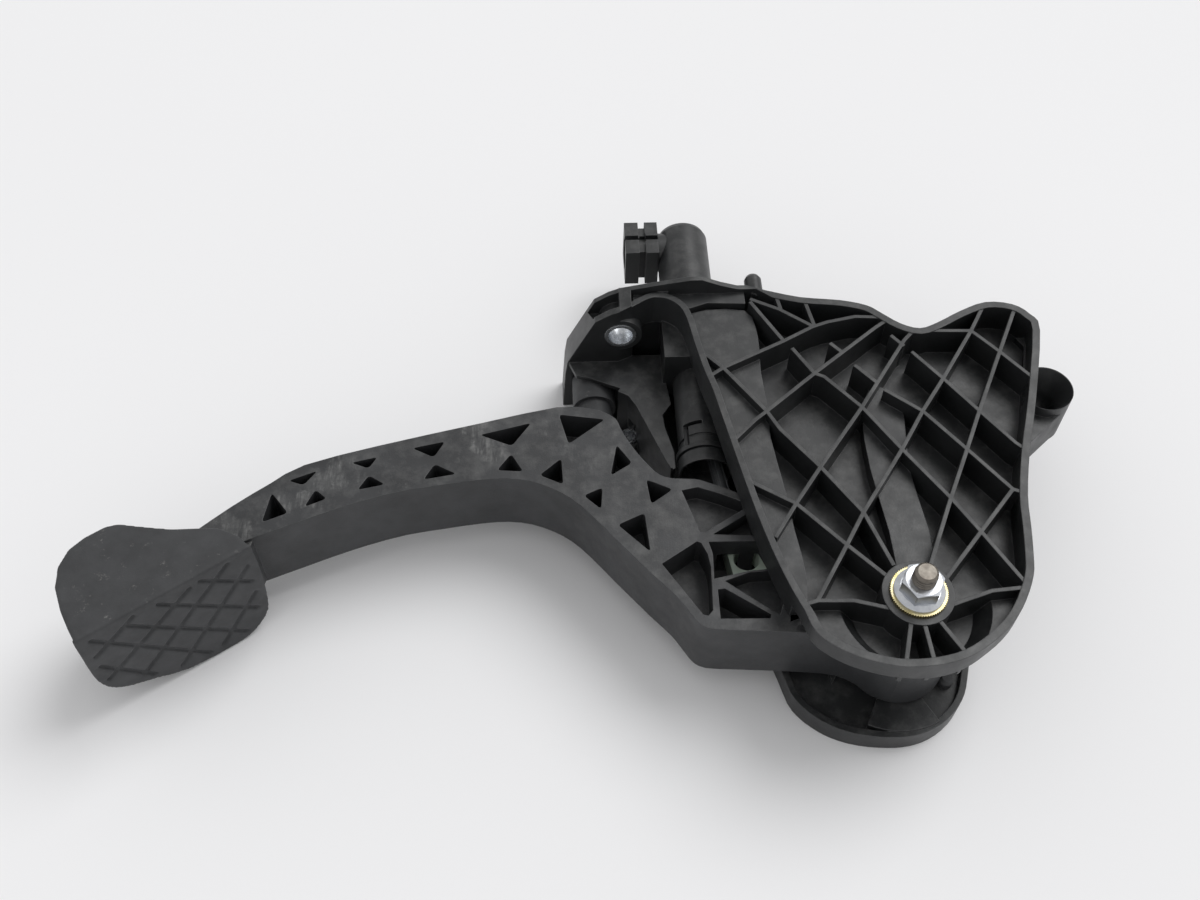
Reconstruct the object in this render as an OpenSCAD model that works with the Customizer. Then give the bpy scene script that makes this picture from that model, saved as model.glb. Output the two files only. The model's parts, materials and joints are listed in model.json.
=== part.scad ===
// Clutch pedal assembly: moulded bracket, pedal arm on a bolt, master cylinder,
// over-centre spring. Drawn with the pedal fully pressed. The pivot axis is vertical,
// the firewall is on the +Y side, the driver on the -Y side.
// Origin: axis of the upper fixing sleeve, on the firewall face of the bracket.

/* [Pedal] */
// Thickness of the pedal arm along the pivot axis
arm_h = 38; // [30:0.5:46]
// Distance from the pivot to the middle of the pad
arm_reach = 320; // [260:1:390]
// Web left between the upper and the lower pockets of the arm
arm_web = 4; // [2.5:0.5:7]
// Radius of the hub round the pivot
hub_r = 23.4; // [19:0.2:28]
// Height of the pad along the pivot axis
pad_h = 66; // [50:1:80]
// Depth of the tread grooves
tread_d = 1.6; // [1:0.1:3]

/* [Bracket] */
// Height of the upper ribbed wall
upper_h = 18.5; // [15:0.5:24]
// Height of the lower wall
lower_h = 12; // [9:0.5:16]
// Width of the outer rim
rim_w = 3.6; // [2.5:0.1:5]
// Width of the ribs
rib_w = 1.8; // [1.2:0.1:3]
// Thickness of the floors and plain walls
floor_t = 2.4; // [1.8:0.1:3.5]
// Depth of the flange block in front of the firewall face
flange_d = 15.7; // [12:0.1:22]

/* [Pivot] */
// Radius of the pivot bolt
bolt_r = 5; // [4:0.25:6]
// Width across the flats of nut and bolt head
hex_af = 16; // [13:0.5:19]
// Outer radius of the spacer tube
tube_r = 8; // [7:0.25:10]
// Wall of the hub bushes
bush_w = 2; // [1.5:0.1:3]
// Running clearance between bush and tube
run_fit = 0.05; // [0.02:0.01:0.1]
// Thickness of the toothed washer
washer_t = 1.5; // [1:0.1:2.5]

/* [Cylinder] */
// Outer radius of the cylinder barrel
barrel_r = 12; // [10.5:0.1:14]
// Bore radius of the cylinder
bore_r = 9.5; // [8:0.1:10.5]
// Length of the pushrod between its pins
rod_len = 94; // [80:1:105]
// Inner radius of the mounting sleeves
sleeve_r = 6.2; // [5:0.1:8]

/* [Hidden] */
$fn = 64;

black = "#202224";
dark = "#2b2d30";
steel = "#b9bcc0";
zinc = "#c7ccd2";
brass = "#c8b860";
green = "#2f7d63";
pale = "#b9c6ba";

// Levels, counted from the top face of the washer
z_rim = -washer_t;
z_up = z_rim - upper_h;
z_arm_t = z_up - 1;
z_arm_b = z_arm_t - arm_h;
z_low_rim = z_arm_b - 5;
z_base = z_low_rim - lower_h;
z_low_floor = z_low_rim - 3;
z_seat = z_arm_b - 4;
z_mid = (z_arm_t + z_arm_b) / 2;
bush_f = 2.3;
hub_t = z_up - 0.1 - bush_f;
hub_b = z_seat + 0.1 + bush_f;
bush_r = tube_r + run_fit + bush_w;

// Plan positions
fire_y = 178;
niche_y = fire_y - flange_d;
cyl_x = -80;
cyl_z = z_mid;
sleeve_at = [-118.3, -19.7];
low_sleeve_at = [2, -50];
foot_at = [-114, 134];
rod_at = [-66, 38];
ball_y = rod_at[1] + sqrt(rod_len * rod_len - (rod_at[0] - cyl_x) * (rod_at[0] - cyl_x));
rod_tilt = asin((rod_at[0] - cyl_x) / rod_len);
over_at = [5, 115];
over_r = 30;
over_arm = [over_r * cos(70), over_r * sin(70)];
over_len = norm(over_at - over_arm);
over_dir = atan2(over_arm[1] - over_at[1], over_arm[0] - over_at[0]);
mouth_y = 90;
socket_y = 147;
head_end = 251;
collar_t = 2.6;

// Curve tools
function at(p, i) = p[(i + len(p)) % len(p)];
function cr(a, b, c, d, t) = 0.5 * (2 * b + (c - a) * t
    + (2 * a - 5 * b + 4 * c - d) * t * t + (3 * b - a - 3 * c + d) * t * t * t);
function loop(p, n) = [for (i = [0 : len(p) - 1], k = [0 : n - 1])
    cr(at(p, i - 1), p[i], at(p, i + 1), at(p, i + 2), k / n)];
function open_at(p, i) = p[max(0, min(len(p) - 1, i))];
function path(p, n) = concat([for (i = [0 : len(p) - 2], k = [0 : n - 1])
    cr(open_at(p, i - 1), p[i], p[i + 1], open_at(p, i + 2), k / n)], [p[len(p) - 1]]);
function unit(v) = v / norm(v);
function left(v) = [-v[1], v[0]];
function mid_normal(a, b, c) = let (m = unit(left(unit(b - a)) + left(unit(c - b))))
    m / max(0.5, m * left(unit(b - a)));
function inset(p, d) = [for (i = [0 : len(p) - 1])
    p[i] + d * mid_normal(at(p, i - 1), p[i], at(p, i + 1))];
function end_normal(p, i) = i == 0 ? left(unit(p[1] - p[0]))
    : i == len(p) - 1 ? left(unit(p[i] - p[i - 1])) : mid_normal(p[i - 1], p[i], p[i + 1]);
function ribbon(p, w) = concat([for (i = [0 : len(p) - 1]) p[i] + w / 2 * end_normal(p, i)],
    [for (i = [len(p) - 1 : -1 : 0]) p[i] - w / 2 * end_normal(p, i)]);
function reach(p) = [for (q = p) q[0] < -150
    ? [-150 + (q[0] + 150) * (arm_reach - 150) / 170, q[1]] : q];
function ring_pts(c, r, a, b, n) = [for (k = [0 : n]) let (t = a + (b - a) * k / n)
    [c[0] + r * cos(t), c[1] + r * sin(t)]];

// Plan outlines, all counter-clockwise
wall_near = [[-49.4, -6.7], [-46.2, -16.7], [-39.1, -23.7], [-29.8, -29], [-19.4, -32.6],
    [-9.8, -34.3], [3.4, -33.7], [16, -30.5], [27.6, -23.7], [37.7, -15.1], [45.2, -4.9],
    [51, 6.7], [53.3, 16.3], [55.7, 31.1], [58.1, 47.8], [64.7, 72.3], [74.3, 101],
    [86.5, 144], [84, 154.6], [76.5, 161.4], [63.3, 163.1], [49.6, 157.6], [37.3, 150.7],
    [27.7, 147.1], [18.4, 150.6], [9.7, 158.1], [3.5, 162.9], [-9, 166.6], [-28.7, 169.2],
    [-45.7, 174.4]];
wall_niche = [[-114, 164.4], [-104.6, 170.4], [-99.6, 171.3], [-94.2, 169.8], [-89.1, 165],
    [-86.2, 157], [-83.9, 142.8], [-80.6, 125.2], [-77.4, 112.3], [-75.2, 100.3],
    [-67.7, 60], [-63.3, 38.5], [-58.8, 20.5], [-54.2, 5.5], [-49.4, -6.7]];
near_pts = path(wall_near, 3);
niche_pts = [for (i = [0 : 3 * 14 - 1]) path(wall_niche, 3)[i]];
upper_line = concat(near_pts, [[-54.8, fire_y], [-119, fire_y], [-119, niche_y]], niche_pts);
near_in = inset(near_pts, rim_w);
niche_in = inset(niche_pts, 3);
pan_line = concat([for (i = [1 : len(near_in) - 2]) near_in[i]], [[-50, fire_y - 2.6],
    [-115, fire_y - 2.6]], [for (i = [1 : len(niche_in) - 2]) niche_in[i]]);
lower_line = concat(path([[-112, 140], [-95, 105], [-80, 75], [-62, 30], [-51.6, -3],
    [-48.4, -15.2], [-44.3, -22], [-38.4, -27.7], [-31.7, -32.2], [-23.1, -35.7],
    [-14.2, -37.6], [-5.3, -38.4], [0.8, -38.3], [7.1, -37.3], [13.6, -35], [20.5, -30.8],
    [26.6, -25.1], [31, -18.6], [33.7, -11.4], [38, 2], [45, 22], [52, 45], [62.7, 72.3],
    [74.3, 101], [86.5, 144], [84, 154.6], [76.5, 161.4], [63.3, 163.1], [49.6, 157.6],
    [37.3, 150.7], [27.7, 147.1], [18.4, 150.6], [9.7, 158.1], [3.5, 162.9], [-9, 166.6],
    [-28.7, 169.2], [-45.7, 174.4]], 2), [[-54.8, fire_y], [-112, fire_y]]);
flange_line = [[24, -30], [-8, -21], [-31, -14], [-54.9, -3], [-68.3, 1.5], [-77.6, 5.6],
    [-83.6, 5.6], [-91, 4.2], [-102.3, 2], [-118, -1.5], [-123.9, -4.1], [-131.2, -9.3],
    [-135.7, -19], [-145.2, -39.9], [-146.5, -49.6], [-148, z_base], [24, z_base]];

module slab(pts, z, h) {
  translate([0, 0, z])
    linear_extrude(height = h)
      polygon(pts);
}

module rib(pts, z, h, w = rib_w) {
  slab(ribbon(pts, w), z, h);
}

module along_y(x, z, y0, y1) {
  translate([x, y0, z])
    rotate([-90, 0, 0])
      linear_extrude(height = y1 - y0)
        children();
}

module rod_y(r, x, z, y0, y1) {
  translate([x, y0, z])
    rotate([-90, 0, 0])
      cylinder(r = r, h = y1 - y0);
}

module spin_y(x, z, y0) {
  translate([x, y0, z])
    rotate([-90, 0, 0])
      rotate_extrude()
        children();
}

module origin_shift() {
  translate([-sleeve_at[0], -fire_y, -sleeve_at[1]])
    children();
}

// Sections of the upper wall's rib grid
grid = [
    [[-77.6, 121.1], [-71.2, 125.6], [-40.2, 141.4], [-25.3, 149.9], [-17.3, 152.9],
        [-2.9, 156.1], [10.5, 155.3]],
    [[-70, 83], [-59.1, 94.2], [-53.3, 98.9], [-27.9, 120.8], [6.4, 149], [12, 153]],
    [[-53.9, 167.4], [-40.2, 141.4]],
    [[-80.1, 135.5], [-71.2, 125.6], [-53.3, 98.9]],
    [[-36.7, 136.8], [-27.9, 120.8]],
    [[-17.8, 139.4], [-13.1, 133.9]],
    [[-27.9, 120.8], [-23.5, 118.6], [-8.3, 99.9], [6.3, 75.1], [23.5, 47.8], [33.3, 29.8],
        [47.8, 2.1]],
    [[-8, 125.4], [1.3, 114]],
    [[3.9, 110], [19.8, 96.7], [36.2, 74.2], [52.3, 51.6], [56, 50]],
    [[12.7, 143.4], [18, 136.5]],
    [[21.1, 132.8], [33.2, 115.8], [46.5, 96], [59.5, 77], [63.5, 73]],
    [[30, 146], [52.7, 145.2], [63.9, 131.5], [77.5, 113.5]],
    [[-66.5, 60.4], [-46.1, 47.1], [-26.7, 25], [-12, 9]],
    [[-53.3, 98.9], [-48.1, 88], [-32.5, 66.5], [-16.8, 41.5], [-8, 14]],
    [[-57.4, 29.8], [-46.1, 47.1], [-32.5, 66.5], [-8.3, 99.9], [18.7, 140.1], [26, 148]],
    [[-43.2, -2], [-26.7, 25], [-16.8, 41.5], [6.3, 75.1], [19.8, 96.7], [33.2, 115.8],
        [52.7, 145.2], [62, 161]],
    [[8, 14], [23.5, 47.8], [36.2, 74.2], [46.5, 96], [63.9, 131.5], [77, 158]],
    [[13, 6.5], [33.3, 29.8], [52.3, 51.6]],
    [[-48, -3.4], [-43.2, -2], [-27.8, -2.5], [-12, -7]],
    [[12, -6.5], [16, -5], [31.8, 0.2], [46, 1.4]],
    [[-5, -12], [-10.8, -32]],
    [[-0.1, -12], [1, -32]],
    [[6, -12], [15.3, -29.4]],
    [[-53.7, 169.2], [-40, 162], [-25.2, 150.8]],
    [[-40.4, 170], [-39.2, 162]],
    [[-26.6, 167], [-24, 151]]
];

// Raised floors of the upper wall: over the cylinder, over the spring, by the arch
bulge_line = concat(path([[-85, 164], [-75, 167], [-56.4, 166], [-52, 155.6], [-51.6, 141.4],
    [-52.5, 126], [-51.5, 102.6], [-52.3, 87.4], [-48.6, 53.4], [-47.6, 37], [-45.6, 18.5],
    [-45.9, 5], [-48, -9]], 2), [[-52, -4], [-61, 20], [-70, 60], [-79, 105], [-86, 140]]);
spring_line = path([[12.5, 10], [13, 36], [10, 70], [13, 100], [7, 116], [-1, 116],
    [-7, 100], [-8, 70], [-5, 36], [-5, 10]], 2);
arch_line = [[-112, 169.5], [-104, 173.5], [-97, 174.5], [-89, 171.5], [-84.5, 165.5],
    [-75, 169], [-56, 168], [-56, 175.3], [-112, 175.3]];

module dish(out, drop) {
  intersection() {
    rotate_extrude()
      polygon([[24 + out, z_up - 1], [33 + out, z_rim - 8 - drop], [80, z_rim - 8 - drop],
          [80, z_up - 1]]);
    translate([-80, -70, z_up - 2])
      cube([160, 71, 30]);
  }
}

module upper_wall() {
  difference() {
    slab(upper_line, z_up, upper_h);
    difference() {
      slab(pan_line, z_up + floor_t, upper_h);
      dish(0, -0.2);
      slab(bulge_line, z_up, upper_h - 5.5);
      slab(spring_line, z_up, upper_h - 8);
      slab(arch_line, z_up, upper_h - 2.6);
      pocket_walls();
    }
    dish(2.6, floor_t - 0.2);
  }
  intersection() {
    slab(upper_line, z_up, upper_h - 0.5);
    union() {
      for (g = grid)
        rib(g, z_up + 0.5, upper_h - 1);
    }
  }
  translate([0, 0, z_up])
    cylinder(r = 15.5, h = upper_h);
}

// Partitions of the open pockets behind the arch
module pocket_walls() {
  slab([[-119, 160], [-115, 160], [-112.6, 180], [-117.4, 180]], z_up, upper_h);
  slab(ribbon([[-104.5, 171], [-94, 178]], rib_w), z_up, upper_h - 0.5);
  slab(ribbon([[-99, 171], [-93, 178]], rib_w), z_up, upper_h - 0.5);
}

// Lower wall, open to the arm above and ribbed on its underside
module lower_wall() {
  difference() {
    slab(lower_line, z_base, lower_h);
    slab(inset(lower_line, 3), z_low_floor, 10);
    difference() {
      slab(inset(lower_line, 3), z_base - 1, z_low_floor - floor_t - z_base + 1);
      for (g = grid)
        rib(g, z_base, lower_h);
      translate([0, 0, z_base])
        cylinder(r = 15.5, h = lower_h);
    }
  }
  fan();
  translate([0, 0, z_base])
    cylinder(r = 15.5, h = z_seat - z_base);
  slab(ring_pts([0, 0], 30, 100, 200, 12), z_low_floor - 1, z_seat - z_low_floor - 1);
}

module fan() {
  slab(concat([[0, 0]], ring_pts([0, 0], 36, -116, -62, 10)), z_low_floor - 1,
      z_seat - z_low_floor + 1);
}

// Side wall that joins both walls along the far edge and the right side
module side_wall() {
  p = [for (i = [15 * 3 : len(wall_near) * 3 - 3]) path(wall_near, 3)[i]];
  q = concat(p, [[-52, 175.4], [-60, 175.4]]);
  slab(concat(q, [for (i = [len(q) - 1 : -1 : 0]) q[i] + rim_w * end_normal(q, i)]),
      z_base, z_up - z_base + 1);
}

module flange() {
  difference() {
    along_y(0, 0, niche_y, fire_y)
      polygon([for (p = flange_line) [p[0], -p[1]]]);
    // opening on the right, behind the side wall
    slab([[-52, 100], [40, 100], [40, fire_y - floor_t - 1], [-52, fire_y - floor_t - 1]],
        z_base - 1, 120);
    // hollow of the block, open to the underside
    intersection() {
      along_y(0, 0, niche_y + rim_w, fire_y - rim_w)
        polygon([for (p = inset(flange_line, rim_w)) [p[0], -p[1] + (p[1] < z_base + 9
            ? 12 : 0)]]);
      translate([-200, 100, z_base - 5])
        cube([300, 100, z_up - z_base + 5]);
    }
    // open pockets at the top, and the open top over the cylinder
    slab([[-132, niche_y + rim_w], [-118.5, niche_y + rim_w], [-117, fire_y - 2.6],
        [-134.5, fire_y - 2.6]], z_up + floor_t, 40);
    slab([[-113.5, niche_y - 20], [-52, niche_y - 20], [-52, fire_y - 2.6],
        [-113, fire_y - 2.6]], z_up + 0.1, 40);
    slab([[-119, niche_y - 20], [-60, niche_y - 20], [-86, 157], [-89.1, 165], [-94.2, 169.8],
        [-99.6, 171.3], [-104.6, 170.4], [-114, 164.4], [-119, niche_y]], z_up - 20, 60);
  }
}

// Shelf beside the cylinder, its front wall and the cylinder's socket
shelf_line = [[-145, niche_y + 1], [-141, 153.4], [-135.3, 152], [-126.5, 148],
    [-119.6, 144.9], [-114, 141.5], [-110.6, 134.2], [-98.9, 102], [-95.6, 93.5],
    [-94.2, 94], [-94.2, 104], [-97.7, 118.8], [-98.4, 126.7], [-93.7, 133.7],
    [-95.6, 149.9], [-96, niche_y + 1]];

module shelf() {
  slab(shelf_line, -42.5, 2.5);
  rib([[-119.4, 143.6], [-114, 140.3], [-110, 133], [-98.3, 101.4], [-95.4, 94.4]],
      z_base, -40 - z_base, 2.4);
  slab([[-112, 141], [-97.5, 118], [-95.5, 122], [-95.5, niche_y + 1], [-112, niche_y + 1]],
      z_base, floor_t);
  slab([[-122, 128], [-107, 128], [-107, niche_y + 1], [-122, niche_y + 1]], z_base, floor_t);
  translate([foot_at[0], foot_at[1], z_base])
    cylinder(r = 6.5, h = 8);
}

module socket() {
  difference() {
    union() {
      rod_y(barrel_r + 3.4, cyl_x, cyl_z, socket_y, fire_y - 1);
      slab([[-97, socket_y], [-63, socket_y], [-63, fire_y - 1], [-97, fire_y - 1]],
          cyl_z, z_up + 1 - cyl_z);
      slab([[-82, socket_y], [-78, socket_y], [-78, fire_y - 1], [-82, fire_y - 1]],
          z_base, cyl_z - z_base);
    }
    rod_y(barrel_r, cyl_x, cyl_z, 100, 200);
  }
}

// Lug on the right side with a funnel round its bolt hole
module ear() {
  difference() {
    union() {
      translate([84, 113, -34])
        cylinder(r = 13, h = 26);
      slab([[60, 76], [70, 84], [90, 101.5], [97, 113], [94, 121], [88, 150], [76, 150]],
          -34, 20);
    }
    translate([84, 113, -22])
      cylinder(r1 = 6, r2 = 13.5, h = 15);
    translate([70, 60, -16])
      rotate([20, 0, 0])
        cube([40, 70, 30]);
    slab([[86, 128], [97, 128], [97, 155], [84, 155]], -26, 30);
    slab([[40, 60], [66, 84], [82, 144], [76, 155], [50, 150]], -36, 40);
  }
}

module bracket() {
  color(black)
    origin_shift()
      difference() {
        union() {
          upper_wall();
          lower_wall();
          side_wall();
          flange();
          shelf();
          socket();
          ear();
          rod_y(sleeve_r + 4.6, sleeve_at[0], sleeve_at[1], niche_y, fire_y);
          rod_y(sleeve_r + 4.6, low_sleeve_at[0], low_sleeve_at[1], niche_y - 1, fire_y);
          rod_y(9, -132, -54, niche_y - 2, niche_y + 1);
          translate([over_at[0], over_at[1], z_base + 2])
            cylinder(r = 5, h = z_up + 3 - z_base);
        }
        translate([0, 0, z_base - 1])
          cylinder(r = bolt_r + 0.2, h = -z_base + 5);
        translate([0, 0, z_base - 1])
          rotate([0, 0, 10])
            cylinder(r = hex_af / 2 + 3.2, h = 8.6);
        translate([84, 113, -35])
          cylinder(r = 6, h = 13.5);
        rod_y(sleeve_r + 1.8, sleeve_at[0], sleeve_at[1], 140, 190);
        rod_y(sleeve_r + 1.8, low_sleeve_at[0], low_sleeve_at[1], 140, 190);
        rod_y(barrel_r, cyl_x, cyl_z, 140, 190);
        rod_y(barrel_r + 4, cyl_x, cyl_z, fire_y - collar_t, 190);
        translate([foot_at[0], foot_at[1], z_base - 1])
          cylinder(r = 4.6, h = 20);
      }
}

module sleeve_at_flange(p) {
  rotate([90, 0, 0])
    translate([p[0], p[1], -fire_y])
      difference() {
        cylinder(r = sleeve_r + 1.8, h = flange_d + 0.4);
        translate([0, 0, -1])
          cylinder(r = sleeve_r, h = flange_d + 4);
      }
}

module firewall_sleeve() {
  color(steel)
    origin_shift() {
      sleeve_at_flange(sleeve_at);
      sleeve_at_flange(low_sleeve_at);
    }
}

module foot_sleeve() {
  color(steel)
    origin_shift()
      translate([foot_at[0], foot_at[1], z_base])
        difference() {
          cylinder(r = 4.6, h = 9.5);
          translate([0, 0, -1])
            cylinder(r = 3.4, h = 12);
        }
}

module pivot_bolt() {
  color("#8a7f74")
    origin_shift() {
      translate([0, 0, z_base + 1.2])
        cylinder(r = hex_af / sqrt(3), h = 6.4, $fn = 6);
      translate([0, 0, z_base + 7.6 - 1.5])
        cylinder(r = hex_af / 2 + 2.6, h = 1.5);
      translate([0, 0, z_base + 7])
        cylinder(r = bolt_r, h = 15.2 - z_base - 7);
      translate([0, 0, 15.2])
        cylinder(r1 = bolt_r, r2 = bolt_r - 1.1, h = 1);
    }
}

module pivot_nut() {
  color(zinc)
    origin_shift()
      difference() {
        union() {
          cylinder(r = 10.95, h = 1.1);
          translate([0, 0, 1.1])
            cylinder(r1 = 10.95, r2 = 8.6, h = 1.2);
          intersection() {
            rotate([0, 0, 4])
              cylinder(r = hex_af / sqrt(3), h = 9.5, $fn = 6);
            rotate_extrude()
              polygon([[0, 0], [12, 0], [12, 7.6], [7.6, 9.5], [0, 9.5]]);
          }
        }
        translate([0, 0, -1])
          cylinder(r = bolt_r, h = 12);
      }
}

module lock_washer() {
  color(brass)
    origin_shift()
      translate([0, 0, -washer_t])
        difference() {
          union() {
            cylinder(r = 12, h = washer_t);
            linear_extrude(height = washer_t)
              polygon([for (k = [0 : 143]) let (r = k % 2 == 0 ? 12.5 : 11.95)
                  [r * cos(k * 2.5), r * sin(k * 2.5)]]);
          }
          translate([0, 0, -1])
            cylinder(r = bolt_r + 0.2, h = 5);
        }
}

module spacer_tube() {
  color(steel)
    origin_shift()
      translate([0, 0, z_seat])
        difference() {
          cylinder(r = tube_r, h = z_up - z_seat);
          translate([0, 0, -1])
            cylinder(r = bolt_r + 0.2, h = 60);
        }
}

module bush(len_in) {
  difference() {
    union() {
      cylinder(r = bush_r, h = len_in + bush_f);
      cylinder(r = bush_r + 4, h = bush_f);
    }
    translate([0, 0, -1])
      cylinder(r = tube_r + run_fit, h = len_in + bush_f + 2);
  }
}

module hub_bush_top() {
  color(green)
    origin_shift()
      translate([0, 0, z_up - 0.1])
        rotate([180, 0, 0])
          bush(14);
}

module hub_bush_low() {
  color(green)
    origin_shift()
      translate([0, 0, z_seat + 0.1])
        bush(14);
}

// Outline of the pedal arm with its foot end, hub and spring lug
arm_far = [[-315.9, 53.6], [-301, 66.5], [-285, 78.5], [-270.3, 88.3], [-235.8, 98.5],
    [-187.6, 110.3], [-151.4, 118.7], [-135.4, 117.4], [-128.3, 114.8], [-123.1, 110.8],
    [-121.1, 105.3], [-118.2, 98.3], [-113.7, 90.1], [-108.7, 82.7], [-104.2, 77.6],
    [-98, 75.2], [-87.7, 74.5], [-82.5, 72.7], [-69.3, 66.6], [-58, 58], [-46, 47],
    [-34, 38], [-18, 33.5], [2, 35], [10, 38.5]];
arm_near = [[-5, -22.9], [-15.6, -17.2], [-24, -11.5], [-34, -8.6], [-54.3, -6.6],
    [-74, -5.2], [-86.5, -4.1], [-92, -1.2], [-95.5, 4], [-101, 12.8], [-109.8, 22.8],
    [-124.4, 40.6], [-137.2, 56.6], [-145.8, 65.5], [-154.5, 71.4], [-165, 75.9],
    [-176, 77.7], [-188.6, 77.3], [-206.6, 74.9], [-225.9, 71.8], [-244.9, 66.4],
    [-260.8, 60.6], [-273.9, 55.3], [-290.1, 48.8], [-305, 42]];

function turn(c, r, a0, a1, n) = ring_pts(c, r, a0, a1, n);
arm_line = concat(
    [for (i = [0 : 2 * 24]) path(arm_near, 2)[i]],
    [for (i = [0 : 2 * 24]) path(arm_far, 2)[i]],
    turn(over_arm, 10, 85, -10, 8),
    turn([0, 0], hub_r - 2, 20, -100, 10));

pockets = [
    [[-284, 73], [-275.5, 61.7], [-286.9, 57]],
    [[-277.1, 79.6], [-264, 84.8], [-269.8, 76.8]],
    [[-264.1, 74.2], [-258.4, 69], [-268.3, 64.8]],
    [[-248.6, 88.9], [-236.5, 91.8], [-240.3, 85.3]],
    [[-239.9, 81.4], [-232.1, 76.1], [-244.7, 73.4]],
    [[-220.4, 96.4], [-204.9, 99.9], [-210, 90.7]],
    [[-209.4, 86.9], [-199.1, 80.9], [-214.4, 78.2]],
    [[-188.5, 103.2], [-163.9, 109.6], [-173.2, 96.2]],
    [[-173.5, 91.6], [-167.9, 81.3], [-180.2, 82.4]],
    [[-149.9, 88.3], [-149.3, 73.4], [-160.3, 79]],
    [[-150.5, 114.2], [-128.3, 110.6], [-146.2, 96.5]],
    [[-123.4, 95.3], [-116.6, 84.6], [-127, 77.7]],
    [[-131.1, 71.1], [-132.2, 59.1], [-140, 66.9]],
    [[-110.5, 75], [-98.5, 69], [-109, 61.2]],
    [[-112.4, 56.4], [-110.9, 35.6], [-125, 50.4]]
];
cells = [
    [[-106.2, 29.2], [-89.6, 40.4], [-87.7, 39.5], [-85.3, 33.7], [-84.4, 26.9],
        [-85.4, 5.1], [-87.6, 2.5], [-89.9, 3.1]],
    [[-94.4, 68.3], [-86.7, 69.9], [-76.8, 66], [-66.5, 61], [-66, 57.4], [-81.1, 48],
        [-84.8, 45.2], [-87.7, 45.3]],
    [[-81.9, 43.9], [-64.4, 55.1], [-61.3, 42.4]],
    [[-84.3, 40], [-60.6, 39.8], [-54.9, 25.4], [-67.7, 24.2], [-83.5, 20.8],
        [-82.9, 33.6]],
    [[-78.8, 19.5], [-67.3, 23.6], [-55, 24.3], [-52.4, 18.7], [-53.5, 9.4], [-56.3, 2],
        [-59, 3.7]],
    [[-82.4, 15.3], [-79.2, 15.7], [-60.1, 2.1], [-60.8, 0.3], [-82.5, 0.8]],
    [[-50.5, 18], [-44, 26], [-36, 14], [-40, 3], [-52.1, -1.6]],
    [[-57, 38], [-51, 44], [-37, 31], [-30, 20], [-37, 20], [-52, 24]]
];

function rounded(t, r) = [for (i = [0 : len(t) - 1]) let (p = t[i],
    u = unit(at(t, i - 1) - p), v = unit(at(t, i + 1) - p))
    each [p + r * u, p + 0.3 * r * (u + v), p + r * v]];

module pedal_arm() {
  color(dark)
    origin_shift()
      difference() {
        union() {
          slab(reach(arm_line), z_arm_b, arm_h);
          translate([0, 0, hub_b])
            cylinder(r = hub_r, h = z_arm_t - hub_b);
          pad_core();
        }
        translate([0, 0, hub_t])
          cylinder(r = bush_r + 6, h = 10);
        for (t = pockets) {
          slab(reach(rounded(t, 1.6)), z_mid + arm_web / 2, arm_h);
          slab(reach(rounded(t, 1.6)), z_arm_b - 1, arm_h / 2 + 1 - arm_web / 2);
        }
        for (k = [0 : len(cells) - 1]) {
          deep = k == 1 || k == 2 || k == 4 ? 9.5 : 2;
          slab(cells[k], z_mid + deep, arm_h);
          slab(cells[k], z_arm_b - 1, arm_h / 2 + 1 - deep);
        }
        slab(rounded(cells[3], 1.5), z_mid - 12, arm_h);
        rod_slot();
        over_slot();
        translate([0, 0, z_arm_b - 5])
          cylinder(r = bush_r, h = 60);
        slab([[-317, 66], [-309, 60.5], [-305.5, 63.5], [-309, 72]], z_mid, arm_h);
      }
}

// Fan-shaped slot that the pushrod swings in, with its pin left standing
module rod_slot() {
  difference() {
    union() {
      translate([rod_at[0], rod_at[1], z_mid - 7.5])
        cylinder(r = 13.6, h = 15);
      slab(concat([rod_at + 6 * [cos(-33), sin(-33)]], ring_pts(rod_at, 62, 50, 112, 8),
          [rod_at + 6 * [cos(196), sin(196)]]), z_mid - 7.5, 15);
    }
    translate([rod_at[0], rod_at[1], z_mid - 9])
      cylinder(r = 4, h = 18);
  }
}

// Slot for the spring guide, with its pin left standing
module over_slot() {
  difference() {
    slab(concat(ring_pts(over_arm, 10.4, 175, 365, 12),
        [over_arm + [13, 14], over_arm + [-13, 14]]), z_mid - 9, 18);
    translate([over_arm[0], over_arm[1], z_mid - 10])
      cylinder(r = 4, h = 20);
    cylinder(r = hub_r - 6, h = 200, center = true);
  }
}

// The foot end: a block under the rubber pad
pad_c = [-320.8 + (320 - arm_reach), 14];
pad_a = 33.5;
core_depth = 4;
pad_back = [[-40.5, 0], [40.5, 0], [39, 8], [34, 16.5], [28, 21], [17, 28], [10, 34],
    [4.4, 39], [-1.5, 44.5], [-7, 46.5], [-17, 46.5], [-25, 44.5], [-32, 39], [-37, 30],
    [-39.5, 18], [-40.3, 8]];

// The tread face, as distances along the face and down from the arm's mid plane
pad_face = [for (p = path([[41, -32], [41.5, -10], [40, 8], [38, 22], [32, 30.5],
    [24, 35.3], [12, 35.8], [-6, 34], [-20.5, 26.5], [-31.6, 21], [-37.8, 15], [-40.7, 8],
    [-41.8, -2], [-41.4, -20], [-41, -32]], 2)) [p[0], p[1] * pad_h / 66]];
groove_w = 2;
grooves = [
    [[-14.7, -27.9], [-37.3, -13.1]], [[10.9, -25.9], [-37.6, 7.7]],
    [[29.3, -28.5], [-24.3, 19.1]], [[37.2, -19.4], [-8.3, 29]], [[36, 2.8], [12.2, 30.8]],
    [[14.8, -27.2], [36.3, -5.3]], [[-5.1, -27.1], [34.3, 17.1]], [[-19.5, -23.5], [25.6, 31.1]],
    [[-35.4, -27.4], [6.7, 31.9]], [[-37.5, -6], [-18.9, 24]]
];

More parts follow.
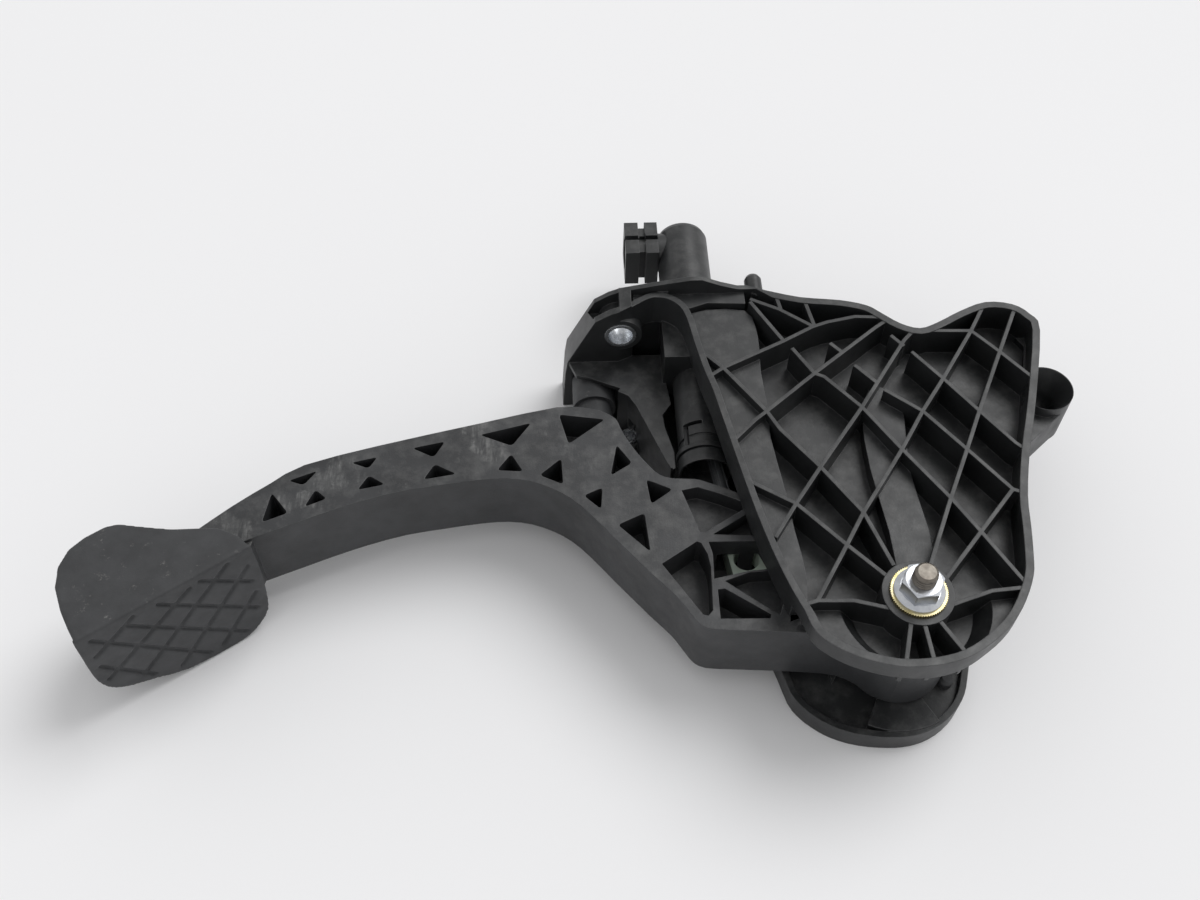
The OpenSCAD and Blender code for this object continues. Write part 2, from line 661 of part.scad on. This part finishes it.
module at_pad(shift = 0) {
  translate([pad_c[0], pad_c[1], 0])
    rotate([0, 0, pad_a])
      translate([0, shift, 0])
        children();
}

module pad_core() {
  at_pad(core_depth)
    intersection() {
      slab([for (p = pad_back) p * 0.9], z_base, 100);
      along_y(0, z_mid, 0, 60)
        polygon([for (p = pad_face) p * 0.86]);
    }
  slab(reach([[-318, 55], [-325, 40], [-320, 21], [-306.9, 30], [-293, 39], [-290, 50]]),
      z_arm_b + 2, arm_h - 4);
}

module pad() {
  color("#26282a")
    origin_shift()
      difference() {
        at_pad()
          pad_form();
        pad_core();
        slab(reach(arm_line), z_arm_b, arm_h);
      }
}

// The pad's outside, its tread cut as grooves between diamond blocks
module pad_form() {
  intersection() {
    slab(pad_back, z_base, 100);
    translate([0, tread_d, 0])
      along_y(0, z_mid, 0, 60)
        polygon(pad_face);
  }
  along_y(0, z_mid, 0, tread_d + 0.01)
    difference() {
      polygon(pad_face);
      for (g = grooves)
        polygon(ribbon(g, groove_w));
    }
}

module stop_buffer() {
  color("#1b1c1d")
    origin_shift() {
      rod_y(11, -132, -54, 142, niche_y - 2);
      spin_y(-132, -54, 118.2)
        polygon([[0, 0], [5.5, 0], [8, 1.6], [8.8, 5], [8.8, 25], [0, 25]]);
    }
}

module hub_buffer() {
  color("#1b1c1d")
    origin_shift()
      translate([23.5, -11.5, z_low_floor]) {
        cylinder(r = 3.4, h = 4);
        translate([0, 0, 4])
          cylinder(r1 = 3.4, r2 = 2, h = 1.6);
      }
}

module cylinder_body() {
  color(black)
    origin_shift()
      difference() {
        union() {
          rod_y(barrel_r, cyl_x, cyl_z, mouth_y + 8, fire_y);
          rod_y(barrel_r + 1.6, cyl_x, cyl_z, mouth_y + 8, mouth_y + 10.6);
          rod_y(barrel_r + 4, cyl_x, cyl_z, fire_y - collar_t, fire_y);
          rod_y(barrel_r - 0.4, cyl_x, cyl_z, fire_y, fire_y + 20);
        }
        rod_y(bore_r, cyl_x, cyl_z, mouth_y - 1, fire_y + 30);
        spin_y(cyl_x, cyl_z, 105)
          polygon([[barrel_r - 0.9, 0], [barrel_r + 1, 0], [barrel_r + 1, 1.8],
              [barrel_r - 0.9, 1.8]]);
        translate([cyl_x - 9.5, 112, cyl_z + 6])
          cube([9, 2.2, 12]);
        translate([cyl_x - 9.5, 100, cyl_z + 6])
          cube([2.2, 14, 12]);
      }
}

module stop_collar() {
  color(black)
    origin_shift()
      difference() {
        union() {
          rod_y(barrel_r + 0.9, cyl_x, cyl_z, mouth_y, mouth_y + 7);
          rod_y(barrel_r, cyl_x, cyl_z, mouth_y + 7, mouth_y + 8);
        }
        rod_y(bore_r + 1.4, cyl_x, cyl_z, mouth_y - 1, mouth_y + 9);
        spin_y(cyl_x, cyl_z, mouth_y)
          polygon([[0, -0.1], [bore_r + 2.6, -0.1], [bore_r + 1.4, 5], [0, 5]]);
      }
}

module cylinder_head() {
  color(black)
    origin_shift()
      difference() {
        union() {
          rod_y(barrel_r + 2, cyl_x, cyl_z, fire_y, head_end - 5);
          spin_y(cyl_x, cyl_z, head_end - 5)
            polygon([[0, 0], [barrel_r + 2, 0], [barrel_r + 1, 2.6], [barrel_r - 1.4, 4.4],
                [barrel_r - 4, 5], [0, 5]]);
          translate([cyl_x - 13, 239, cyl_z])
            rotate([0, -90, 0])
              cylinder(r = 8.5, h = 16);
          translate([cyl_x, 239, cyl_z])
            rotate([0, -90, 0])
              cylinder(r = 10.5, h = 14);
          translate([cyl_x, 184, cyl_z])
            cube([34, 9, 16]);
        }
        rod_y(barrel_r - 0.4, cyl_x, cyl_z, fire_y, fire_y + 20);
        rod_y(bore_r, cyl_x, cyl_z, fire_y + 19, head_end - 8);
        translate([cyl_x - 5, 239, cyl_z])
          rotate([0, -90, 0])
            cylinder(r = 3, h = 40);
        translate([cyl_x - 19, 239, cyl_z])
          rotate([0, -90, 0])
            cylinder(r = 5.4, h = 20);
        translate([cyl_x - 23.7, 239, cyl_z])
          rotate([0, -90, 0])
            cylinder(r = 7, h = 1.6);
        translate([cyl_x + 5, 188.5, cyl_z + 8])
          rotate([0, 90, 0])
            cylinder(r = 2, h = 31);
        rod_y(2, cyl_x + 36 - 1, cyl_z + 8, 188, 195);
      }
}

module outlet_clip() {
  color("#1d1e20")
    origin_shift()
      translate([cyl_x - 29, 239, cyl_z])
        difference() {
          union() {
            translate([-3, -11.5, -12])
              cube([7.5, 23, 24]);
            translate([8, -11.5, -12])
              cube([7, 23, 24]);
            translate([4, -9, -10])
              cube([5, 18, 20]);
          }
          translate([-4, 0, 0])
            rotate([0, 90, 0])
              cylinder(r = 8.5, h = 30);
          translate([5, -3, 8])
            cube([3.4, 6, 6]);
          translate([-4, -1.6, 6])
            cube([20, 3.2, 8]);
        }
}

module outlet_seal() {
  color("#111111")
    origin_shift()
      translate([cyl_x - 24.5, 239, cyl_z])
        rotate([0, -90, 0])
          rotate_extrude()
            translate([6.2, 0])
              circle(r = 0.8, $fn = 24);
}

module feed_nipple() {
  color(black)
    origin_shift()
      difference() {
        union() {
          rod_y(4, cyl_x + 34 + 1, cyl_z + 8, 193, 207);
          spin_y(cyl_x + 35, cyl_z + 8, 197)
            polygon([[0, 0], [5.6, 0], [5.6, 2], [4.6, 3], [4.6, 12], [3.6, 14], [0, 14]]);
        }
        rod_y(2, cyl_x + 35, cyl_z + 8, 190, 220);
      }
}

module piston() {
  color("#3a3d42")
    origin_shift()
      difference() {
        union() {
          rod_y(bore_r - 0.3, cyl_x, cyl_z, ball_y - 5, ball_y + 42);
        }
        rod_y(bore_r - 3, cyl_x, cyl_z, ball_y - 6, ball_y + 5.7);
        for (d = [16, 34])
          spin_y(cyl_x, cyl_z, ball_y + d)
            polygon([[bore_r - 2.5, 0], [bore_r + 1, 0], [bore_r + 1, 3.4],
                [bore_r - 2.5, 3.4]]);
      }
}

module piston_seal() {
  color("#15181a")
    origin_shift()
      for (d = [16, 34])
        spin_y(cyl_x, cyl_z, ball_y + d)
          polygon([[bore_r - 2.5, 0], [bore_r - 0.3, 0.4], [bore_r - 0.1, 3.2],
              [bore_r - 1, 3.4], [bore_r - 2.5, 3.4]]);
}

// A coil spring swept as a polyhedron, with flat end turns that lie close
function coil_z(t, w, l, n) = t < 1 ? w + t * 0.15 * w
    : t > n - 1 ? l - w - (n - t) * 0.15 * w : w * 1.15 + (t - 1) * (l - 2.3 * w) / (n - 2);
module coil(r, w, l, n, seg = 18, side = 8) {
  rings = n * seg;
  pts = [for (i = [0 : rings], j = [0 : side - 1]) let (t = i / seg, a = 360 * t,
      b = 360 * j / side) [(r + w * cos(b)) * cos(a), (r + w * cos(b)) * sin(a),
      coil_z(t, w, l, n) + w * sin(b)]];
  quads = [for (i = [0 : rings - 1], j = [0 : side - 1]) let (k = (j + 1) % side)
      each [[i * side + j, i * side + k, (i + 1) * side + k],
      [i * side + j, (i + 1) * side + k, (i + 1) * side + j]]];
  ends = [[for (j = [side - 1 : -1 : 0]) j], [for (j = [0 : side - 1]) rings * side + j]];
  polyhedron(pts, concat(quads, ends));
}

module return_spring() {
  color(steel)
    origin_shift()
      translate([cyl_x, ball_y + 42, cyl_z])
        rotate([-90, 0, 0])
          coil(7, 0.9, head_end - 8 - ball_y - 42, 9);
}

module on_rod() {
  translate([rod_at[0], rod_at[1], z_mid])
    rotate([0, 0, rod_tilt])
      children();
}

module pushrod() {
  color("#2e3134")
    origin_shift()
      on_rod() {
        difference() {
          union() {
            rod_y(3, 0, 0, 8, rod_len);
            for (a = [0 : 60 : 300])
              rotate([0, a, 0])
                translate([-0.8, 12, 2])
                  cube([1.6, rod_len - 24, 1.4]);
          }
          rod_y(1, 0, 0, rod_len + 2, rod_len + 9);
        }
        translate([0, rod_len, 0])
          sphere(r = 5.2);
      }
}

module pushrod_clip() {
  color(pale)
    origin_shift()
      on_rod()
        difference() {
          translate([-8, -8, -6])
            cube([16, 18, 12]);
          translate([0, 0, -10])
            cylinder(r = 6, h = 20);
          rod_y(3, 0, 0, 7, 20);
        }
}

module on_over() {
  translate([over_at[0], over_at[1], z_mid])
    rotate([0, 0, over_dir - 90])
      children();
}

module over_seat() {
  color("#34373b")
    origin_shift()
      on_over()
        difference() {
          union() {
            cylinder(r = 9.5, h = 16, center = true);
            rod_y(12, 0, 0, 7, 12);
            rod_y(5, 0, 0, 6, 42);
          }
          cylinder(r = 5.3, h = 30, center = true);
          translate([-20, -30, -20])
            cube([40, 28.5, 40]);
        }
}

module over_guide() {
  color("#34373b")
    origin_shift()
      on_over()
        difference() {
          union() {
            rod_y(12, 0, 0, over_len - 18, over_len - 13);
            rod_y(8.3, 0, 0, over_len - 50, over_len - 13);
            translate([-6.6, over_len - 14, -7])
              cube([13.2, 13, 14]);
          }
          rod_y(5.4, 0, 0, over_len - 60, over_len - 20);
          translate([0, over_len - 2.1, 0])
            cylinder(r = 4.5, h = 30, center = true);
          translate([-4.5, over_len - 2.1, -20])
            cube([9, 20, 40]);
        }
}

module over_spring() {
  color(steel)
    origin_shift()
      on_over()
        translate([0, 12, 0])
          rotate([-90, 0, 0])
            coil(10, 1.4, over_len - 18 - 12, 7);
}

bracket();
firewall_sleeve();
foot_sleeve();
pivot_bolt();
pivot_nut();
lock_washer();
spacer_tube();
hub_bush_top();
hub_bush_low();
pedal_arm();
pad();
stop_buffer();
hub_buffer();
cylinder_body();
stop_collar();
cylinder_head();
outlet_clip();
outlet_seal();
feed_nipple();
piston();
piston_seal();
return_spring();
pushrod();
pushrod_clip();
over_seat();
over_guide();
over_spring();
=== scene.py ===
import json
import math

import bmesh
import bpy
from mathutils import Matrix, Vector


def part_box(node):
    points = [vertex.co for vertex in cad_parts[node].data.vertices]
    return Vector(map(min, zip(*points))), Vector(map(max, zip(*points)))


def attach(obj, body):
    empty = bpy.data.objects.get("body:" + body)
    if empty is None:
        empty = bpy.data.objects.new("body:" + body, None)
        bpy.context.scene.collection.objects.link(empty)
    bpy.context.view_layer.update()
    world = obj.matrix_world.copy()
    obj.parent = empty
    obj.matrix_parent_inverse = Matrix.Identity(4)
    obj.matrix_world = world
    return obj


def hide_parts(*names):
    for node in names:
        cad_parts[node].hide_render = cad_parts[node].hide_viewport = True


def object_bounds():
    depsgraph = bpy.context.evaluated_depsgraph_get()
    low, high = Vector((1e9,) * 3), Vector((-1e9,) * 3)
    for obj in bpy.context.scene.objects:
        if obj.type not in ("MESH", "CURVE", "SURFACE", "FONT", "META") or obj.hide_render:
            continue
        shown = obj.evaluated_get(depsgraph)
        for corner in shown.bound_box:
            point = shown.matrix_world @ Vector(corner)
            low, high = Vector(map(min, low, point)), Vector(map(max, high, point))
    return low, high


# Looks of a clutch pedal assembly, in metres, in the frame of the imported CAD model.
# Every shape comes from the CAD; this script rounds the pad, smooths curved walls,
# cuts the stud's thread and gives each piece its finish.

MM = 0.001

# Camera, solved from the photograph
CAMERA_AT = Vector((-0.032573, -0.443730, 0.500575))
CAMERA_BACK = Vector((-0.03153506, -0.58070183, 0.81350533))
CAMERA_UP = Vector((0.0258916, 0.81316239, 0.5814607))
LENS_MM = 39.0
SENSOR_MM = 36.0

# Studio
FLOOR_SIZE = 6.0
FLOOR_GAP = 0.2 * MM
FLOOR_COLOUR = (0.86, 0.86, 0.87)
SKY_LIGHT = 0.66
SKY_SHOWN = 0.90
KEY_STRENGTH = 1.4
KEY_SPREAD = math.radians(38)

# Moulded plastic
EDGE_RADIUS = 0.55 * MM
GRAIN_SCALE = 1400
MOTTLE_SCALE = 42
SMOOTH_ANGLE = math.radians(28)
WELD = 0.01 * MM

# Pad
PAD_VOXEL = 0.62 * MM
PAD_ROUNDS = 10

# Stud thread
THREAD_PITCH = 1.5 * MM
THREAD_DEPTH = 0.28 * MM
THREAD_STEPS = 48


def link(tree, a, b):
    """Links the output socket a to the input socket b."""
    tree.links.new(a, b)


def node(tree, kind, **inputs):
    """A shader node of that kind, with its inputs set by name (spaces as underscores)."""
    made = tree.nodes.new("ShaderNode" + kind)
    for key, value in inputs.items():
        made.inputs[key.replace("_", " ")].default_value = value
    return made


def new_material(name):
    """A material with an empty tree but its output, and the Principled shader on it."""
    material = bpy.data.materials.new(name)
    material.use_nodes = True
    tree = material.node_tree
    tree.nodes.clear()
    out = tree.nodes.new("ShaderNodeOutputMaterial")
    shader = tree.nodes.new("ShaderNodeBsdfPrincipled")
    link(tree, shader.outputs["BSDF"], out.inputs["Surface"])
    return material, tree, shader


def noise(tree, scale, detail=4.0, rough=0.55, stretch=None):
    """Noise in object coordinates, so one scale means the same size on every piece."""
    where = tree.nodes.new("ShaderNodeTexCoord").outputs["Object"]
    if stretch:
        mapping = tree.nodes.new("ShaderNodeMapping")
        mapping.inputs["Scale"].default_value = stretch
        mapping.inputs["Rotation"].default_value = (0.0, 0.0, math.radians(24))
        link(tree, where, mapping.inputs["Vector"])
        where = mapping.outputs["Vector"]
    made = node(tree, "TexNoise", Scale=scale, Detail=detail, Roughness=rough)
    link(tree, where, made.inputs["Vector"])
    return made.outputs["Fac"]


def ramp(tree, value, low, high, to_low=0.0, to_high=1.0):
    """Value mapped from low..high to to_low..to_high, held at both ends."""
    made = tree.nodes.new("ShaderNodeMapRange")
    for key, number in (("From Min", low), ("From Max", high), ("To Min", to_low),
                        ("To Max", to_high)):
        made.inputs[key].default_value = number
    link(tree, value, made.inputs["Value"])
    return made.outputs["Result"]


def times(tree, a, b):
    """Product of two sockets, or of a socket and a number."""
    made = tree.nodes.new("ShaderNodeMath")
    made.operation = "MULTIPLY"
    link(tree, a, made.inputs[0])
    if isinstance(b, (int, float)):
        made.inputs[1].default_value = b
    else:
        link(tree, b, made.inputs[1])
    return made.outputs[0]


def mix_colour(tree, amount, a, b):
    """Colour a turned into colour b by amount. Each is a socket or an RGB triple."""
    made = tree.nodes.new("ShaderNodeMix")
    made.data_type = "RGBA"
    link(tree, amount, made.inputs["Factor"])
    for key, colour in (("A", a), ("B", b)):
        socket = [s for s in made.inputs if s.name == key and s.type == "RGBA"][0]
        if isinstance(colour, tuple):
            socket.default_value = (*colour, 1.0)
        else:
            link(tree, colour, socket)
    return [s for s in made.outputs if s.type == "RGBA"][0]


def rounded_edges(tree, radius=EDGE_RADIUS):
    """Normal that rounds sharp edges, and a mask that is 1 along them."""
    bevel = tree.nodes.new("ShaderNodeBevel")
    bevel.samples = 6
    bevel.inputs["Radius"].default_value = radius
    geometry = tree.nodes.new("ShaderNodeNewGeometry")
    dot = tree.nodes.new("ShaderNodeVectorMath")
    dot.operation = "DOT_PRODUCT"
    link(tree, bevel.outputs["Normal"], dot.inputs[0])
    link(tree, geometry.outputs["Normal"], dot.inputs[1])
    return bevel.outputs["Normal"], ramp(tree, dot.outputs["Value"], 0.985, 0.80)


def bump(tree, height, normal, distance, strength=1.0):
    """Bump of that height socket over that normal."""
    made = node(tree, "Bump", Strength=strength, Distance=distance)
    link(tree, height, made.inputs["Height"])
    link(tree, normal, made.inputs["Normal"])
    return made.outputs["Normal"]


def facing_up(tree):
    """Mask of the faces that look up, where dust settles."""
    geometry = tree.nodes.new("ShaderNodeNewGeometry")
    split = tree.nodes.new("ShaderNodeSeparateXYZ")
    link(tree, geometry.outputs["Normal"], split.inputs[0])
    return ramp(tree, split.outputs["Z"], 0.35, 0.9)


def left_of(tree, x_from, x_to):
    """Mask that is 1 past x_from on the pad's side and 0 past x_to."""
    where = tree.nodes.new("ShaderNodeTexCoord").outputs["Object"]
    split = tree.nodes.new("ShaderNodeSeparateXYZ")
    link(tree, where, split.inputs[0])
    return ramp(tree, split.outputs["X"], x_to, x_from)


def moulded(name, colour, rough, edge, grain=0.05, dust=0.0, scuff=None):
    """Satin moulded plastic: fine grain, flow mottle, paler edges that are partly wear and
    partly a painted edge highlight, dust on top.
    scuff = (x_from, x_to, strength) adds pale rubbed patches on the pad's side."""
    material, tree, shader = new_material(name)
    normal, edges = rounded_edges(tree)
    mottle = noise(tree, MOTTLE_SCALE, 5.0)
    darker = tuple(0.72 * c for c in colour)
    lighter = tuple(1.35 * c for c in colour)
    body = mix_colour(tree, ramp(tree, mottle, 0.32, 0.68), darker, lighter)
    # Paler colour along every edge: partly edge wear, partly a painted highlight on the rims.
    wear_and_highlight = times(tree, edges, ramp(tree, noise(tree, 260, 3.0), 0.30, 0.62, 0.25, 1.0))
    body = mix_colour(tree, times(tree, wear_and_highlight, 0.75), body, edge)
    if dust:
        lying = times(tree, facing_up(tree), ramp(tree, noise(tree, 95, 8.0, 0.7), 0.46, 0.72))
        body = mix_colour(tree, times(tree, lying, dust), body, (0.22, 0.22, 0.215))
    if scuff:
        x_from, x_to, strength = scuff
        rubbed = ramp(tree, noise(tree, 38, 9.0, 0.72), 0.53, 0.68)
        fine = ramp(tree, noise(tree, 420, 4.0, 0.6, (1.0, 0.16, 1.0)), 0.42, 0.66)
        patch = times(tree, times(tree, rubbed, fine), facing_up(tree))
        patch = times(tree, times(tree, patch, left_of(tree, x_from, x_to)), strength)
        body = mix_colour(tree, patch, body, (0.25, 0.25, 0.245))
    link(tree, body, shader.inputs["Base Color"])
    uneven = ramp(tree, noise(tree, 120, 5.0, 0.6), 0.3, 0.7, rough - 0.06, rough + 0.08)
    link(tree, uneven, shader.inputs["Roughness"])
    height = noise(tree, GRAIN_SCALE, 3.0, 0.5)
    link(tree, bump(tree, height, normal, grain * MM), shader.inputs["Normal"])
    return material


def rubber(name, colour, dust):
    """Matte rubber with a dusty bloom, and paler edges that are partly rubbed wear and partly
    a painted edge highlight.
    """
    material, tree, shader = new_material(name)
    normal, edges = rounded_edges(tree, 0.5 * MM)
    bloom = ramp(tree, noise(tree, 70, 7.0, 0.68), 0.40, 0.74)
    body = mix_colour(tree, times(tree, bloom, 0.6), colour, tuple(1.9 * c for c in colour))
    spots = ramp(tree, noise(tree, 190, 8.0, 0.75), 0.60, 0.74)
    lying = times(tree, times(tree, spots, facing_up(tree)), dust)
    body = mix_colour(tree, lying, body, (0.30, 0.29, 0.28))
    # Paler colour along every edge: partly rubbed wear, partly a painted highlight on the
    # rims.
    body = mix_colour(tree, times(tree, edges, 0.35), body, tuple(3.2 * c for c in colour))
    link(tree, body, shader.inputs["Base Color"])
    uneven = ramp(tree, noise(tree, 150, 5.0, 0.6), 0.3, 0.7, 0.50, 0.68)
    link(tree, uneven, shader.inputs["Roughness"])
    height = noise(tree, 900, 4.0, 0.6)
    link(tree, bump(tree, height, normal, 0.06 * MM), shader.inputs["Normal"])
    return material


def metal(name, colour, tint, rough, brushed=False):
    """Plated or bare steel: two tones in soft patches, fine scratches, rounded edges."""
    material, tree, shader = new_material(name)
    shader.inputs["Metallic"].default_value = 1.0
    normal, edges = rounded_edges(tree, 0.3 * MM)
    patches = ramp(tree, noise(tree, 230, 6.0, 0.6), 0.36, 0.66)
    body = mix_colour(tree, patches, colour, tint)
    specks = ramp(tree, noise(tree, 900, 5.0, 0.7), 0.58, 0.70)
    body = mix_colour(tree, times(tree, specks, 0.35), body, tuple(0.35 * c for c in colour))
    link(tree, body, shader.inputs["Base Color"])
    uneven = ramp(tree, noise(tree, 340, 5.0, 0.65), 0.3, 0.7, rough - 0.08, rough + 0.14)
    link(tree, uneven, shader.inputs["Roughness"])
    stretch = (1.0, 1.0, 14.0) if brushed else None
    height = noise(tree, 1100, 3.0, 0.5, stretch)
    link(tree, bump(tree, height, normal, 0.03 * MM), shader.inputs["Normal"])
    return material


def make_materials():
    """The record's material slots, each as one procedural material."""
    return {
        "black_plastic": moulded("black_plastic", (0.017, 0.018, 0.019), 0.40,
                                 (0.12, 0.122, 0.125), dust=0.22),
        "arm_plastic": moulded("arm_plastic", (0.024, 0.025, 0.027), 0.45,
                               (0.13, 0.132, 0.135), grain=0.08, dust=0.25,
                               scuff=(-0.09, 0.03, 0.85)),
        "grey_plastic": moulded("grey_plastic", (0.055, 0.058, 0.062), 0.40,
                                (0.14, 0.145, 0.15)),
        "green_plastic": moulded("green_plastic", (0.02, 0.16, 0.10), 0.38,
                                 (0.10, 0.32, 0.24)),
        "pale_plastic": moulded("pale_plastic", (0.46, 0.54, 0.46), 0.36,
                                (0.66, 0.72, 0.66)),
        "rubber": rubber("rubber", (0.030, 0.031, 0.033), 0.55),
        "steel": metal("steel", (0.66, 0.68, 0.70), (0.50, 0.52, 0.55), 0.26, True),
        "dull_steel": metal("dull_steel", (0.17, 0.15, 0.13), (0.26, 0.24, 0.21), 0.45),
        "zinc": metal("zinc", (0.66, 0.68, 0.71), (0.52, 0.54, 0.58), 0.34),
        "yellow_zinc": metal("yellow_zinc", (0.56, 0.47, 0.20), (0.60, 0.54, 0.36), 0.34),
        "spring_steel": metal("spring_steel", (0.30, 0.31, 0.33), (0.42, 0.43, 0.45), 0.36),
    }


def give(obj, material):
    """One material for the whole object."""
    obj.data.materials.clear()
    obj.data.materials.append(material)


def copy_of(cad_name, name):
    """A new object with its own copy of a CAD node's mesh."""
    mesh = frame["nodes"][cad_name].data.copy()
    obj = bpy.data.objects.new(name, mesh)
    bpy.context.scene.collection.objects.link(obj)
    return obj


def smooth_copy(cad_name, name, body):
    """Stands for the CAD node with the same shape, its curved walls shaded smooth."""
    obj = copy_of(cad_name, name)
    work = bmesh.new()
    work.from_mesh(obj.data)
    bmesh.ops.remove_doubles(work, verts=work.verts, dist=WELD)
    for edge in work.edges:
        edge.smooth = len(edge.link_faces) == 2 and edge.calc_face_angle() < SMOOTH_ANGLE
    for face in work.faces:
        face.smooth = True
    plain = bpy.data.meshes.new(name)
    work.to_mesh(plain)
    work.free()
    obj.data = plain
    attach(obj, body)
    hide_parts(cad_name)
    return obj


def rounded_pad():
    """The rubber pad with soft edges and tread blocks, remeshed from its CAD solid."""
    obj = copy_of("pad", "pad_rubber")
    remesh = obj.modifiers.new("remesh", "REMESH")
    remesh.mode = "VOXEL"
    remesh.voxel_size = PAD_VOXEL
    soften = obj.modifiers.new("soften", "SMOOTH")
    soften.factor = 0.5
    soften.iterations = PAD_ROUNDS
    bpy.context.view_layer.update()
    shown = obj.evaluated_get(bpy.context.evaluated_depsgraph_get())
    mesh = bpy.data.meshes.new_from_object(shown)
    obj.modifiers.clear()
    obj.data = mesh
    for face in mesh.polygons:
        face.use_smooth = True
    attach(obj, "pedal")
    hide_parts("pad")
    return obj


def stud_thread():
    """Thread ridge on the stud's end, from the nut's top to the stud's chamfer."""
    low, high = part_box("pivot_bolt")
    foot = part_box("pivot_nut")[1].z - 0.3 * MM
    top = high.z - 1.3 * MM
    washer_low, washer_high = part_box("lock_washer")
    axis = (washer_low + washer_high) / 2
    core = 4.95 * MM
    turns = (top - foot) / THREAD_PITCH
    count = int(turns * THREAD_STEPS)
    half = 0.42 * THREAD_PITCH
    work = bmesh.new()
    rings = []
    for i in range(count + 1):
        angle = 2 * math.pi * i / THREAD_STEPS
        z = foot + THREAD_PITCH * i / THREAD_STEPS
        fade = min(1.0, i / 8, (count - i) / 8)
        ring = []
        for radius, shift in ((core, -half), (core + THREAD_DEPTH * fade, 0.0), (core, half)):
            ring.append(work.verts.new((axis.x + radius * math.cos(angle),
                                        axis.y + radius * math.sin(angle), z + shift)))
        rings.append(ring)
    for a, b in zip(rings, rings[1:]):
        for k in range(3):
            work.faces.new((a[k], b[k], b[(k + 1) % 3], a[(k + 1) % 3]))
    work.faces.new(rings[0])
    work.faces.new(tuple(reversed(rings[-1])))
    bmesh.ops.recalc_face_normals(work, faces=work.faces)
    mesh = bpy.data.meshes.new("stud_thread")
    work.to_mesh(mesh)
    work.free()
    obj = bpy.data.objects.new("stud_thread", mesh)
    bpy.context.scene.collection.objects.link(obj)
    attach(obj, "bracket")
    return obj


def make_camera():
    """The camera of the photograph."""
    data = bpy.data.cameras.new("camera")
    data.lens = LENS_MM
    data.sensor_width = SENSOR_MM
    data.sensor_fit = "HORIZONTAL"
    data.clip_start = 0.01
    data.clip_end = 20.0
    camera = bpy.data.objects.new("camera", data)
    bpy.context.scene.collection.objects.link(camera)
    back = CAMERA_BACK.normalized()
    right = CAMERA_UP.cross(back).normalized()
    turn = Matrix((right, back.cross(right), back)).transposed().to_4x4()
    camera.matrix_world = Matrix.Translation(CAMERA_AT) @ turn
    bpy.context.scene.camera = camera


def make_floor(low):
    """A plain pale floor under the lowest point."""
    mesh = bpy.data.meshes.new("floor")
    half = FLOOR_SIZE / 2
    mesh.from_pydata([(-half, -half, 0), (half, -half, 0), (half, half, 0), (-half, half, 0)],
                     [], [(0, 1, 2, 3)])
    floor = bpy.data.objects.new("floor", mesh)
    bpy.context.scene.collection.objects.link(floor)
    floor.location = (0.0, 0.0, low.z - FLOOR_GAP)
    material, tree, shader = new_material("floor")
    shader.inputs["Roughness"].default_value = 0.7
    shader.inputs["Specular IOR Level"].default_value = 0.2
    shade = ramp(tree, noise(tree, 1.4, 2.0), 0.3, 0.7)
    pale = tuple(0.985 * c for c in FLOOR_COLOUR)
    link(tree, mix_colour(tree, shade, FLOOR_COLOUR, pale), shader.inputs["Base Color"])
    give(floor, material)


def soft_sun(name, towards, strength, spread):
    """A wide soft lamp far away in the direction towards, even over the whole floor."""
    data = bpy.data.lights.new(name, "SUN")
    data.energy = strength
    data.angle = spread
    lamp = bpy.data.objects.new(name, data)
    bpy.context.scene.collection.objects.link(lamp)
    lamp.rotation_euler = Vector(towards).to_track_quat("Z", "Y").to_euler()


def make_world():
    """Even white light all round, shown a little brighter to the camera."""
    world = bpy.data.worlds.new("studio")
    world.use_nodes = True
    tree = world.node_tree
    tree.nodes.clear()
    out = tree.nodes.new("ShaderNodeOutputWorld")
    lit = node(tree, "Background", Color=(1, 1, 1, 1), Strength=SKY_LIGHT)
    shown = node(tree, "Background", Color=(0.97, 0.975, 0.985, 1), Strength=SKY_SHOWN)
    path = tree.nodes.new("ShaderNodeLightPath")
    mix = tree.nodes.new("ShaderNodeMixShader")
    link(tree, path.outputs["Is Camera Ray"], mix.inputs["Fac"])
    link(tree, lit.outputs[0], mix.inputs[1])
    link(tree, shown.outputs[0], mix.inputs[2])
    link(tree, mix.outputs[0], out.inputs["Surface"])
    bpy.context.scene.world = world


def dress_nodes(materials):
    """Each CAD node takes the material of its slot in the record."""
    for part in frame["record"]["subparts"]:
        give(frame["nodes"][part["node"]], materials[part["material_slot"]])


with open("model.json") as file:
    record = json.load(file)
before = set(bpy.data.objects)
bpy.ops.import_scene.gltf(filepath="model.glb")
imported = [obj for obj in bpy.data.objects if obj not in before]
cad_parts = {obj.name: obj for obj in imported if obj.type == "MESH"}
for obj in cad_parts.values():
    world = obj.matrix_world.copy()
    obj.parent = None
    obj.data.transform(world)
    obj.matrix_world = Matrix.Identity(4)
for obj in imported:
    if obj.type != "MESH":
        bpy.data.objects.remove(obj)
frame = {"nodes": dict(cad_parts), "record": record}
cad_low, cad_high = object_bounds()
bpy.context.scene.view_settings.view_transform = "Standard"

make_camera()
make_floor(cad_low)
make_world()
soft_sun("key", (0.75, 0.60, 1.30), KEY_STRENGTH, KEY_SPREAD)

materials = make_materials()
dress_nodes(materials)
give(smooth_copy("bracket", "bracket_moulding", "bracket"), materials["black_plastic"])
give(smooth_copy("pedal_arm", "arm_moulding", "pedal"), materials["arm_plastic"])
give(rounded_pad(), materials["rubber"])
give(stud_thread(), materials["dull_steel"])
